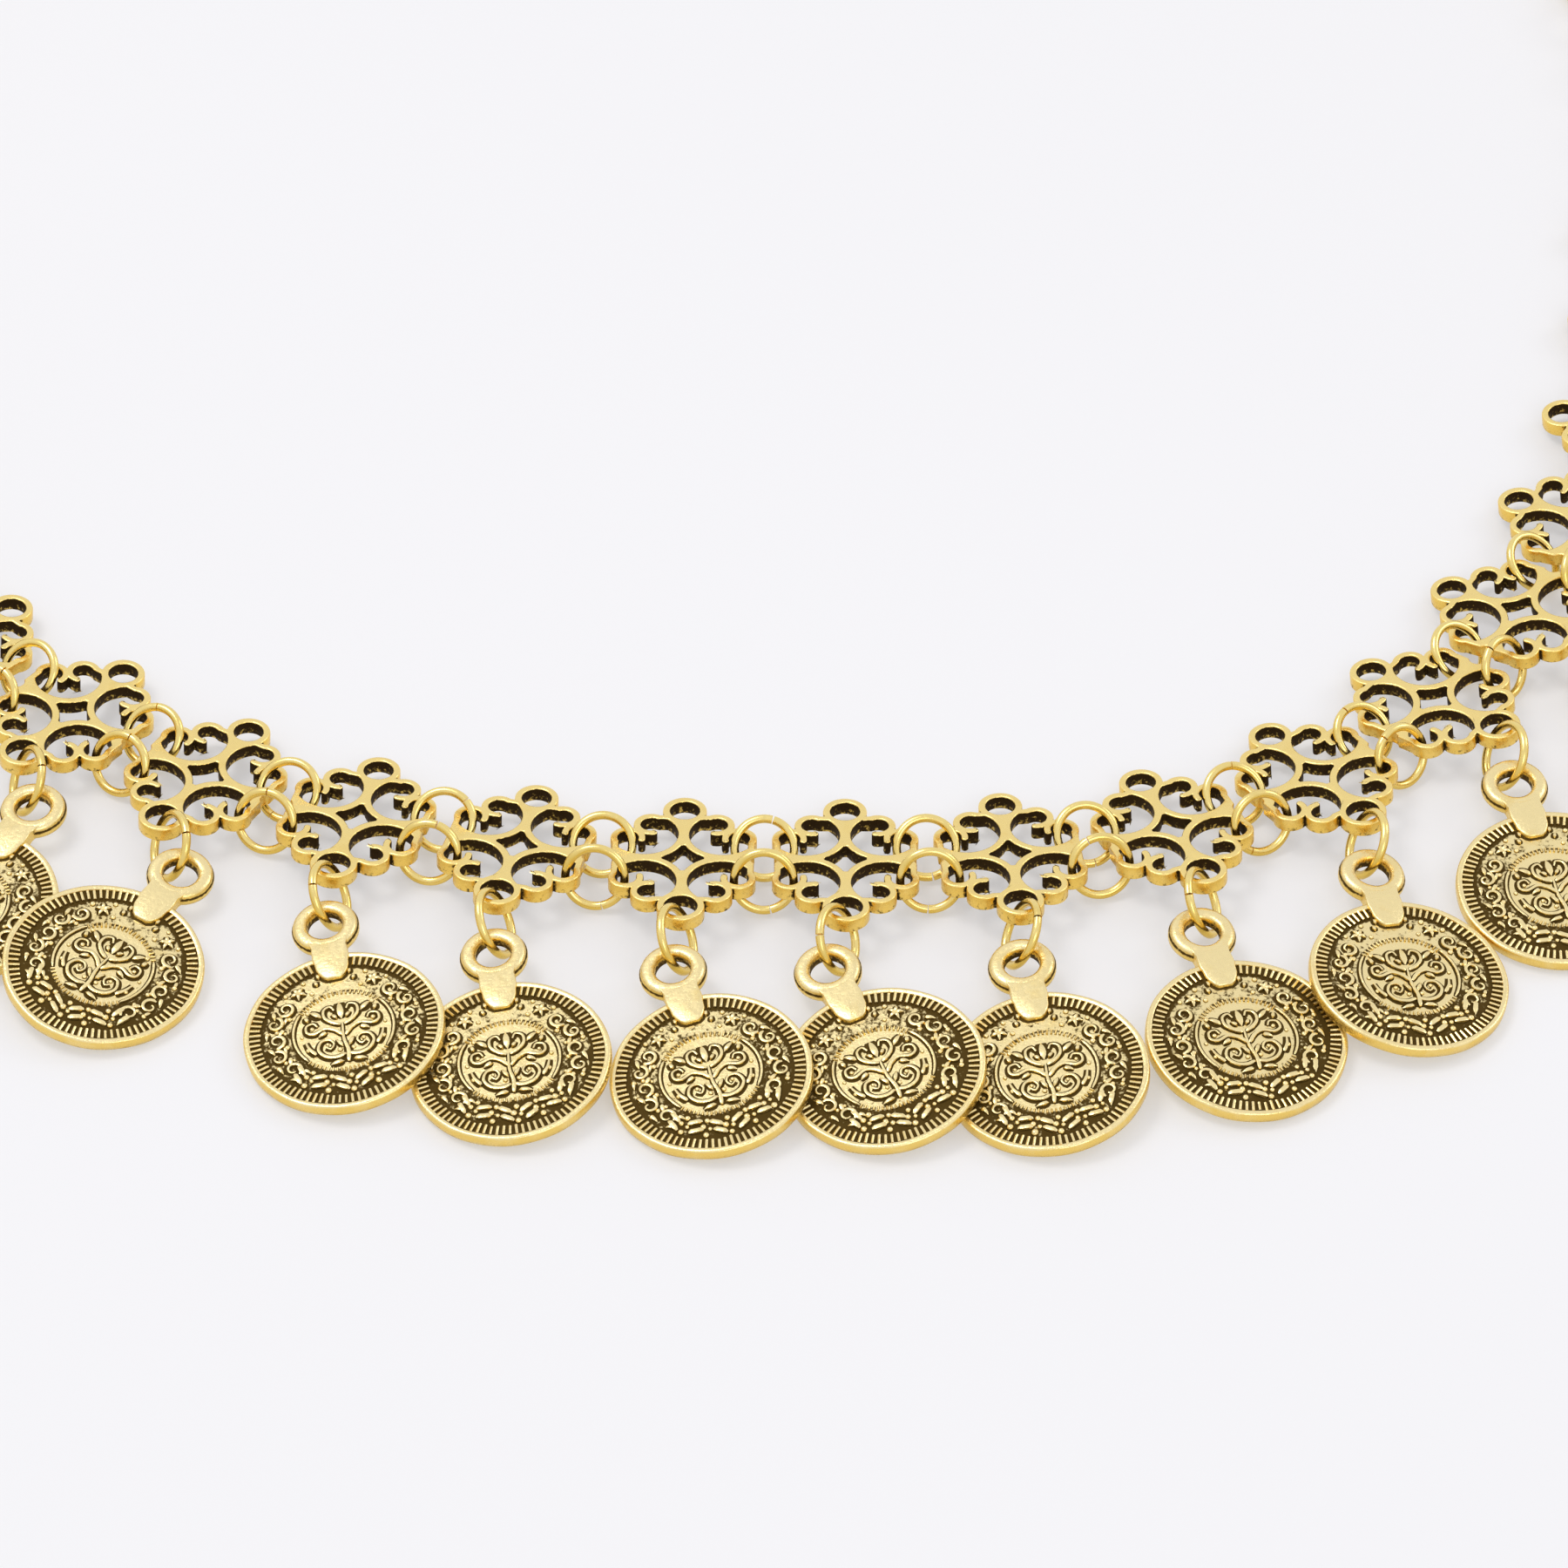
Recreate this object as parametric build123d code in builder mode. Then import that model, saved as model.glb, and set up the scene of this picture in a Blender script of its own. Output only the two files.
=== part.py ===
# Coin necklace of cast pierced plates with hanging coins, lying closed on a flat surface
import os
from math import asin, atan2, cos, degrees, pi, radians, sin, sqrt

from build123d import *

os.makedirs("parts", exist_ok=True)

# Cast scroll plate
plate_thickness = 1.4
scroll_place = 3.55
scroll_hole = 3.05
scroll_band = 0.72
lobe_out = 5.05
lobe_side = 3.0
lobe_hole = 0.95
lobe_band = 0.65
rim_inner = 5.85
rim_outer = 6.45
notch_radius = 0.9
notch_depth = 0.35
curl_angle = 192.0
mouth_share = 1.4
lip_share = 0.4
loop_out = 7.2
loop_hole = 1.35
hanging_hole = 1.5
loop_band = 0.65
diamond_tip = 1.9

# Jump rings
ring_radius = 2.7
ring_wire = 0.8
inner_ring_seat = 2.4
outer_ring_seat = 2.6

# Cast coin with its lug
coin_radius = 9.0
coin_thickness = 1.2
relief_height = 0.25
rim_width = 0.55
inner_ring_radius = 4.5
inner_ring_width = 0.3
lug_out = 12.65
lug_hole = 1.6
lug_band = 1.45
tongue_width = 3.0
tongue_end_width = 1.5
tongue_overlap = 3.0
tongue_rise = 0.25
tongue_bevel = 0.5
motif_radius = 6.2
star_count = 4
star_points = 5
star_radius = 0.85
star_core = 0.38
heart_radius = 0.7
petal_count = 8
petal_length = 2.6
petal_width = 0.95
leaf_count = 8
leaf_length = 1.75
leaf_width = 0.95
berry_radius = 0.55
bead_radius = 0.3

# How the plates and coins lie
plate_height = 2.4
coin_ring_lean = 62.0
coin_loop_seat = 0.2
coin_ring_radius = 2.95
lug_seat = 0.8
lug_height = 2.5

# Back chain and clasp
link_wire = 1.0
link_bend = 2.0
link_straight = 2.0
link_lean = 45.0
right_links = 32
left_links = 31
chain_play = 0.25
end_ring_set_in = 0.3
end_ring_height = 2.1
clasp_thickness = 1.8
clasp_eye_thickness = 1.2
clasp_seat = 0.6
clasp_eye_hole = 1.6
clasp_eye_band = 0.9
clasp_length = 9.0
clasp_width = 6.4
clasp_wall = 1.3

# Plates to the right of the middle one and to its left, walked outwards: turn from the plate before,
# distance between the linked lobes, slope with the outer side up, direction of the coin ring,
# direction of the coin, raised side of the coin
right_row = [
    (6.0, 4.85, 8.0, 0.0, 9.0, 6.0),
    (15.0, 5.15, 8.0, -3.0, 16.0, -3.0),
    (12.0, 5.05, 8.0, 4.0, 12.0, -7.0),
    (17.0, 5.2, 8.0, 10.0, 13.5, 0.0),
    (8.0, 4.85, 8.0, 12.0, 34.0, 0.0),
    (4.0, 4.75, 7.5, 50.0, 58.0, 0.0),
    (12.0, 5.0, 7.0, 70.0, 76.0, 0.0),
    (4.0, 5.0, 7.0, 84.0, 90.0, 0.0),
    (6.0, 5.0, 7.0, 98.0, 104.0, 0.0),
]
left_row = [
    (1.0, 4.6, 8.0, -5.0, 16.0, 7.0),
    (12.0, 5.1, 8.0, -1.0, 8.0, 6.0),
    (1.0, 5.0, 7.0, -4.0, 10.0, 7.5),
    (16.0, 5.1, 5.5, 17.0, -30.0, -8.0),
    (6.0, 5.0, 5.0, 12.0, -28.0, 0.0),
    (7.0, 5.1, 6.0, -34.0, -54.0, 0.0),
    (16.0, 5.1, 7.0, -66.0, -70.0, 0.0),
    (16.0, 5.1, 7.0, -84.0, -88.0, 0.0),
    (14.0, 5.1, 7.0, -98.0, -102.0, 0.0),
]
middle_plate = (0.0, 0.0, 8.0, -14.0, 23.0, 8.0)

wire_half = ring_wire / 2
lobe_outer = lobe_hole + lobe_band


def turned(x, y, angle):
    """A plan vector turned about the vertical, angle in degrees."""
    a = radians(angle)
    return Vector(x * cos(a) - y * sin(a), x * sin(a) + y * cos(a), 0)


def outward(angle):
    """Unit plan vector towards the viewer, swung to the right by the angle."""
    return turned(0, -1, angle)


def ring_at(centre, along, across, radius, wire):
    """A closed ring whose plane holds the two directions."""
    place = Plane(origin=centre, x_dir=along, z_dir=along.cross(across))
    with BuildPart() as ring:
        with Locations(place.location):
            Torus(radius, wire / 2)
    return ring.part


def leaning_ring(centre, along):
    """A jump ring with its foot on the floor and its top towards the inner side."""
    lean = asin((centre.Z - wire_half) / ring_radius)
    level = Vector(-along.Y, along.X, 0).normalized()
    across = level * cos(lean) + Vector(0, 0, sin(lean))
    return ring_at(centre, along, across, ring_radius, ring_wire)


def on_plate(spot, heading, slope, x, y):
    """A point of the plate that lies at the spot, its outer side raised by the slope."""
    flat = y * cos(radians(slope))
    return spot + turned(x, flat, heading) + Vector(0, 0, plate_height - y * sin(radians(slope)))


# Plate shape in its own frame, the chain along X and the inner side of the necklace along +Y
plate_base = Plane.XY.offset(-plate_thickness / 2)
corners = [(1, 1), (-1, 1), (-1, -1), (1, -1)]
lobe_places = [(i * lobe_out, j * lobe_side) for i, j in corners]
lobe_places += [(i * lobe_side, j * lobe_out) for i, j in corners]
scroll_places = [(i * scroll_place, j * scroll_place) for i, j in corners]
curl_radius = lobe_hole + lobe_band / 2
curl_x = lobe_out + curl_radius * cos(radians(curl_angle))
curl_y = lobe_side + curl_radius * sin(radians(curl_angle))
mouth_reach = mouth_share * lobe_outer
notch_place = rim_outer + notch_radius - notch_depth
mouth = [
    (lobe_out, lobe_side),
    (lobe_out + mouth_reach * cos(radians(curl_angle)), lobe_side + mouth_reach * sin(radians(curl_angle))),
    (lobe_out - lobe_hole, lobe_side - mouth_reach),
    (rim_inner, lobe_side - mouth_reach),
    (rim_inner, lobe_side - lip_share * lobe_hole),
]
with BuildPart() as plate_shape:
    with BuildSketch(plate_base) as outline:
        Rectangle(2 * rim_outer, 2 * lobe_side)
        Rectangle(2 * lobe_side, 2 * rim_outer)
        with Locations(*lobe_places):
            Circle(lobe_outer)
        with Locations((0, loop_out)):
            Circle(loop_hole + loop_band)
        with Locations((0, -loop_out)):
            Circle(hanging_hole + loop_band)
        with Locations((notch_place, 0), (-notch_place, 0)):
            Circle(notch_radius, mode=Mode.SUBTRACT)
        with Locations((0, loop_out)):
            Circle(loop_hole, mode=Mode.SUBTRACT)
        with Locations((0, -loop_out)):
            Circle(hanging_hole, mode=Mode.SUBTRACT)
    extrude(amount=plate_thickness)
    with BuildSketch(plate_base) as scroll_opening:
        with Locations((rim_inner / 2, rim_inner / 2)):
            Rectangle(rim_inner, rim_inner)
        with Locations((lobe_out, lobe_side), (lobe_side, lobe_out)):
            Circle(lobe_outer, mode=Mode.SUBTRACT)
        Polygon(*mouth, align=None)
        Polygon(*[(y, x) for x, y in reversed(mouth)], align=None)
        with Locations((lobe_out, lobe_side), (lobe_side, lobe_out)):
            Circle(lobe_hole)
        with Locations((scroll_place, scroll_place)):
            Circle(scroll_hole, mode=Mode.INTERSECT)
        with Locations((curl_x, curl_y), (curl_y, curl_x)):
            Circle(lobe_band / 2, mode=Mode.SUBTRACT)
        mirror(about=Plane.YZ)
        mirror(about=Plane.XZ)
    extrude(amount=plate_thickness, mode=Mode.SUBTRACT)
    with BuildSketch(plate_base) as diamond:
        Rectangle(2 * diamond_tip, 2 * diamond_tip)
        with Locations(*scroll_places):
            Circle(scroll_hole + scroll_band, mode=Mode.SUBTRACT)
    extrude(amount=plate_thickness, mode=Mode.SUBTRACT)

# Coin shape in its own frame, its lug along +Y and its face up
coin_floor = Plane.XY.offset(-coin_thickness / 2)
field = Plane.XY.offset(coin_thickness / 2 - relief_height)
lug_neck = lug_out - lug_hole - lug_band / 2
tongue_tip = coin_radius - tongue_overlap
tongue = [
    (-tongue_width / 2, lug_neck),
    (tongue_width / 2, lug_neck),
    (tongue_width / 2, tongue_tip + tongue_bevel),
    (tongue_end_width / 2, tongue_tip),
    (-tongue_end_width / 2, tongue_tip),
    (-tongue_width / 2, tongue_tip + tongue_bevel),
]
star = []
for point in range(2 * star_points):
    reach = star_radius if point % 2 == 0 else star_core
    way = pi * point / star_points
    star.append((reach * cos(way), reach * sin(way)))
with BuildPart() as coin_shape:
    with BuildSketch(coin_floor) as blank:
        Circle(coin_radius)
    extrude(amount=coin_thickness - relief_height)
    with BuildSketch(field) as raised_rings:
        Circle(coin_radius)
        Circle(coin_radius - rim_width, mode=Mode.SUBTRACT)
        Circle(inner_ring_radius + inner_ring_width / 2)
        Circle(inner_ring_radius - inner_ring_width / 2, mode=Mode.SUBTRACT)
    extrude(amount=relief_height)
    with BuildSketch(field) as rosette:
        Circle(heart_radius)
        with PolarLocations(inner_ring_radius / 2, petal_count):
            Ellipse(petal_length / 2, petal_width / 2)
    extrude(amount=relief_height)
    with BuildSketch(field) as stars:
        with PolarLocations(motif_radius, star_count, start_angle=180 / star_count):
            Polygon(*star, align=None)
    extrude(amount=relief_height)
    with BuildSketch(field) as leaves:
        with PolarLocations(motif_radius, leaf_count, start_angle=180 / leaf_count):
            Ellipse(leaf_width / 2, leaf_length / 2)
        with PolarLocations(motif_radius, star_count - 1, start_angle=180, angular_range=180, endpoint=True):
            Circle(berry_radius)
        with PolarLocations(motif_radius + leaf_width, leaf_count, start_angle=180 / leaf_count):
            Circle(bead_radius)
    extrude(amount=relief_height)
    with BuildSketch(coin_floor) as lug:
        with Locations((0, lug_out)):
            Circle(lug_hole + lug_band)
        with Locations((0, (coin_radius + lug_neck) / 2)):
            Rectangle(tongue_width, lug_neck - coin_radius + lug_band)
        with Locations((0, lug_out)):
            Circle(lug_hole, mode=Mode.SUBTRACT)
    extrude(amount=coin_thickness)
    with BuildSketch(field) as tongue_face:
        Polygon(*tongue, align=None)
    extrude(amount=relief_height + tongue_rise)

# Where the plates lie, walked outwards from the middle one
stations = [(Vector(0, 0, 0), 0.0, middle_plate)]
for row, way in ((right_row, 1), (left_row, -1)):
    spot = Vector(0, 0, 0)
    heading = 0.0
    placed = []
    for entry in row:
        next_heading = heading + way * entry[0]
        spot = spot + turned(way * lobe_out, 0, heading)
        spot = spot + turned(way * entry[1], 0, (heading + next_heading) / 2)
        spot = spot + turned(way * lobe_out, 0, next_heading)
        heading = next_heading
        placed.append((spot, heading, entry))
    stations = stations + placed if way == 1 else placed[::-1] + stations

pieces = {}
link_rings = []
coin_rings = []
for number, (spot, heading, entry) in enumerate(stations, start=1):
    _, _, slope, ring_way, coin_turn, raised = entry
    place = Location(spot + Vector(0, 0, plate_height)) * Location((0, 0, 0), (0, 0, heading))
    place = place * Location((0, 0, 0), (-slope, 0, 0))
    pieces[f"plate_{number:02d}"] = plate_shape.part.moved(place)

    # Coin ring from the outer loop of the plate to the lug of the coin
    loop_middle = on_plate(spot, heading, slope, 0, -loop_out)
    start = loop_middle + outward(ring_way) * coin_loop_seat
    drop = loop_middle.Z - lug_height
    reach = sqrt(4 * coin_ring_radius**2 - drop**2)
    end = start + outward(ring_way) * reach - Vector(0, 0, drop)
    along = (end - start).normalized()
    side = 1 if ring_way < 0 else -1
    level = along.cross(Vector(0, 0, 1)).normalized() * side
    across = level * cos(radians(coin_ring_lean)) + Vector(0, 0, 1) * sin(radians(coin_ring_lean))
    coin_rings.append(ring_at((start + end) / 2, along, across, coin_ring_radius, ring_wire))

    # Coin, its far edge and its low side on the floor
    roll = radians(raised)
    free = lug_height - coin_thickness / 2
    spread = lug_out**2 - coin_radius**2
    root = free**2 * lug_out**2 - spread * (free**2 - (coin_radius * sin(roll)) ** 2)
    rise = (free * lug_out - sqrt(root)) / spread
    tilt = degrees(atan2(rise, sqrt(1 - rise**2)))
    lug_middle = end + outward(ring_way) * lug_seat
    centre = lug_middle + outward(coin_turn) * lug_out * cos(radians(tilt))
    place = Location(Vector(centre.X, centre.Y, lug_height - lug_out * rise))
    place = place * Location((0, 0, 0), (0, 0, coin_turn)) * Location((0, 0, 0), (tilt, 0, 0))
    place = place * Location((0, 0, 0), (0, -raised, 0))
    pieces[f"coin_{number:02d}"] = coin_shape.part.moved(place)

# Pairs of rings that join neighbouring plates
for (spot, heading, entry), (next_spot, next_heading, next_entry) in zip(stations, stations[1:]):
    for seat in (inner_ring_seat, -outer_ring_seat):
        start = on_plate(spot, heading, entry[2], lobe_out, seat)
        end = on_plate(next_spot, next_heading, next_entry[2], -lobe_out, seat)
        link_rings.append(leaning_ring((start + end) / 2, (end - start).normalized()))

# Chain link in its own frame, its length along X
with BuildPart() as link_shape:
    with BuildLine(Plane.XY) as link_path:
        Line((-link_straight / 2, link_bend), (link_straight / 2, link_bend))
        CenterArc((link_straight / 2, 0), link_bend, -90, 180)
        Line((link_straight / 2, -link_bend), (-link_straight / 2, -link_bend))
        CenterArc((-link_straight / 2, 0), link_bend, 90, 180)
    with BuildSketch(Plane(origin=(0, link_bend, 0), x_dir=(0, 1, 0), z_dir=(1, 0, 0))) as link_section:
        Circle(link_wire / 2)
    sweep()

# Clasp in its own frame, its eye towards -X and its hook towards +X
clasp_eye_middle = clasp_length / 2 + clasp_eye_hole
with BuildPart() as clasp_shape:
    with BuildSketch(Plane.XY.offset(-clasp_eye_thickness / 2)) as clasp_eye:
        with Locations((-clasp_eye_middle, 0)):
            Circle(clasp_eye_hole + clasp_eye_band)
    extrude(amount=clasp_eye_thickness)
    with BuildSketch(Plane.XY.offset(-clasp_thickness / 2)) as clasp_body:
        SlotOverall(clasp_length, clasp_width)
    extrude(amount=clasp_thickness)
    with BuildSketch(Plane.XY.offset(-clasp_thickness / 2)) as clasp_holes:
        SlotOverall(clasp_length - 2 * clasp_wall, clasp_width - 2 * clasp_wall)
        with Locations((-clasp_eye_middle, 0)):
            Circle(clasp_eye_hole)
    extrude(amount=clasp_thickness, mode=Mode.SUBTRACT)

# Members of the back chain in order, each with its reach and half its wire at both ends and its lean
half_link = link_bend + link_straight / 2
link_half = link_wire / 2
eye_reach = clasp_eye_middle + clasp_eye_hole + clasp_eye_band / 2
hook_reach = (clasp_length - clasp_wall) / 2
eye_half = clasp_eye_band / 2 + clasp_seat
hook_half = clasp_wall / 2 + clasp_seat
link_level = link_half + link_bend * sin(radians(link_lean))
clasp_drop = degrees(asin((link_level - clasp_thickness / 2) / (clasp_width / 2)))
ring_member = (ring_radius, wire_half, ring_radius, wire_half)
link_member = (half_link, link_half, half_link, link_half)
members = [("end_rings", ring_member)]
members += [("chain_right", link_member)] * right_links
members += [("clasp", (eye_reach, eye_half, hook_reach, hook_half))]
members += [("clasp_ring", ring_member)]
members += [("chain_left", link_member)] * left_links
members += [("end_rings", ring_member)]
steps = [ring_radius]
for (_, before), (_, after) in zip(members, members[1:]):
    steps.append(steps[-1] + before[2] + after[0] - before[3] - after[1] - chain_play)
back_length = steps[-1] + ring_radius

# The back chain lies on one round arc of its own length between the end plates
first_spot, first_heading, _ = stations[0]
last_spot, last_heading, _ = stations[-1]
back_start = last_spot + turned(lobe_out - end_ring_set_in, inner_ring_seat, last_heading)
back_end = first_spot + turned(end_ring_set_in - lobe_out, inner_ring_seat, first_heading)
span = back_end - back_start
narrow = 0.0
wide = pi
halvings = 50
for _ in range(halvings):
    half_turn = (narrow + wide) / 2
    if sin(half_turn) / half_turn > span.length / back_length:
        narrow = half_turn
    else:
        wide = half_turn
arc_radius = back_length / (2 * half_turn)
first_way = atan2(span.Y, span.X) - half_turn
back = {}
for order, ((name, reaches), step) in enumerate(zip(members, steps)):
    way = first_way + step / arc_radius
    spot = back_start + Vector(sin(way) - sin(first_way), cos(first_way) - cos(way), 0) * arc_radius
    along = Vector(cos(way), sin(way), 0)
    inner = Vector(-along.Y, along.X, 0)
    if reaches == ring_member:
        solid = leaning_ring(spot + Vector(0, 0, end_ring_height), along)
    elif name == "clasp":
        across = inner * cos(radians(clasp_drop)) - Vector(0, 0, 1) * sin(radians(clasp_drop))
        place = Plane(spot + Vector(0, 0, link_level), x_dir=along, z_dir=along.cross(across))
        solid = clasp_shape.part.moved(place.location)
    else:
        links_before = len(back.get(name, []))
        side = 1 if links_before % 2 else -1
        across = inner * (side * cos(radians(link_lean))) + Vector(0, 0, 1) * sin(radians(link_lean))
        place = Plane(spot + Vector(0, 0, link_level), x_dir=along, z_dir=along.cross(across))
        solid = link_shape.part.moved(place.location)
    back.setdefault(name, []).append(solid)

# One node for each plate and coin, and one for each run of rings or links
nodes = {name: [solid] for name, solid in pieces.items()}
nodes["link_rings"] = link_rings
nodes["coin_rings"] = coin_rings
nodes.update(back)
everything = Compound([solid for solids in nodes.values() for solid in solids])
extent = everything.bounding_box()
to_middle = Location((-extent.center().X, -extent.center().Y, -extent.min.Z))
for name, solids in nodes.items():
    placed = [solid.moved(to_middle) for solid in solids]
    node = placed[0] if len(placed) == 1 else Compound(placed)
    node.label = name
    export_step(node, f"parts/{name}.step")
print("size", extent.size, "middle", extent.center(), "half turn", degrees(half_turn), "back", back_length)
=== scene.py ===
import math

import bmesh
import bpy
import numpy as np
from mathutils import Matrix, Quaternion, Vector, kdtree


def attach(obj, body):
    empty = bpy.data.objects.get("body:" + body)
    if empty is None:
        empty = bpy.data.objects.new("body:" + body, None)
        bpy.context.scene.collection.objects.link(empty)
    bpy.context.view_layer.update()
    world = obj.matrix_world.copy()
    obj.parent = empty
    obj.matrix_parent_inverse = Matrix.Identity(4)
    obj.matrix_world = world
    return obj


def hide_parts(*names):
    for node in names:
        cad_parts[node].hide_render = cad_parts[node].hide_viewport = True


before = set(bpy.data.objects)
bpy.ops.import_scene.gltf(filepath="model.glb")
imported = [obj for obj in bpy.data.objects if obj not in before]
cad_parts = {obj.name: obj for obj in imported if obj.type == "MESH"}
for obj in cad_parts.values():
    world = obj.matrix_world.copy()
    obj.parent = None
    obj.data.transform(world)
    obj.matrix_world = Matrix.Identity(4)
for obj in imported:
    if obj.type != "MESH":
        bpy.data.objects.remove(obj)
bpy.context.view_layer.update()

bl_info = {
    "name": "Coin Necklace",
    "version": (1, 0, 0),
    "blender": (4, 5, 0),
    "location": "View3D > Sidebar > Necklace",
    "description": "Builds the looks of a coin necklace on its packed frame",
    "category": "Add Mesh",
}

MM = 0.001
# Points nearer than this many metres are one, and faces whose normals agree to this cosine lie the same way
WELD = 2e-6
NEARLY_FLAT = 0.998
FULL_TURN = 2 * math.pi
# A link's ends are rounded by a little less than half its width, so that the two roundings stay apart
ALMOST_HALF = 0.499
BODY = "root"
PLATES = sorted(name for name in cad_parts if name.startswith("plate_"))
COINS = sorted(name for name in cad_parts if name.startswith("coin_") and name != "coin_rings")


# Reading where the frame's pieces lie

def merged(node):
    """A bmesh copy of a CAD node with its loose triangles joined."""
    bm = bmesh.new()
    bm.from_mesh(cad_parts[node].data)
    bmesh.ops.remove_doubles(bm, verts=bm.verts, dist=WELD)
    return bm


def islands(bm):
    """The points of each loose part, one array a part."""
    parts = []
    seen = set()
    bm.verts.ensure_lookup_table()
    for first in bm.verts:
        if first.index in seen:
            continue
        seen.add(first.index)
        stack = [first]
        points = []
        while stack:
            vert = stack.pop()
            points.append(vert.co[:])
            for edge in vert.link_edges:
                other = edge.other_vert(vert)
                if other.index not in seen:
                    seen.add(other.index)
                    stack.append(other)
        parts.append(np.array(points))
    return parts


def main_axes(points):
    """Middle of the points and their longest, middle and shortest direction."""
    centre = points.mean(axis=0)
    _, _, axes = np.linalg.svd(points - centre, full_matrices=False)
    return Vector(centre), [Vector(axis) for axis in axes]


def pose_from(axes, origin):
    """The pose whose X, Y and Z lie along three directions."""
    pose = Matrix(axes).transposed().to_4x4()
    pose.translation = origin
    return pose


def pose_of(points, upright):
    """Pose with Z along the shortest direction and Y along the longest, to the end that reaches less."""
    centre, (long_way, _, normal) = main_axes(points)
    if upright and normal.z < 0:
        normal = -normal
    reach = (points - np.array(centre)) @ np.array(long_way)
    if reach.max() + reach.min() > 0:
        long_way = -long_way
    return pose_from((long_way.cross(normal), long_way, normal), centre)


def coin_pose(node, coin):
    """Pose of a coin, its lug along Y, its middle at the middle of the disc."""
    bm = merged(node)
    points = np.array([vert.co[:] for vert in bm.verts])
    _, (long_way, _, normal) = main_axes(points)
    if normal.z < 0:
        normal = -normal
    under = Vector()
    for face in bm.faces:
        if face.normal.dot(normal) < -NEARLY_FLAT:
            under -= face.normal * face.calc_area()
    bm.free()
    normal = under.normalized()
    reach = points @ np.array(long_way)
    middle = float(np.mean(reach))
    if reach.max() - middle < middle - reach.min():
        long_way = -long_way
    across = long_way.cross(normal).normalized()
    long_way = normal.cross(across)
    sideways = points @ np.array(across)
    lengthways = points @ np.array(long_way)
    upwards = points @ np.array(normal)
    origin = across * float(sideways.max() + sideways.min()) / 2
    origin += long_way * (float(lengthways.min()) + coin.radius)
    origin += normal * (float(upwards.min()) + coin.thickness / 2)
    return pose_from((across, long_way, normal), origin)


# Joining small forms into one mesh, in millimetres

# Rows across a raised line: place across, reach of the fillet beyond it, height, share of the line's own
# height, tarnish
STROKE_ROWS = ((-1, 1.1, 0.005, 0, 0.9), (-1, 0, 0.03, 0, 1.0), (-0.75, 0, 0, 0.85, 0.15), (0, 0, 0, 1.0, 0.0),
               (0.75, 0, 0, 0.85, 0.15), (1, 0, 0.03, 0, 1.0), (1, 1.1, 0.005, 0, 0.9))
# How much a line's width and height differ by chance
WIDTH_CHANCE = 0.12
HEIGHT_CHANCE = 0.15


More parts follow.
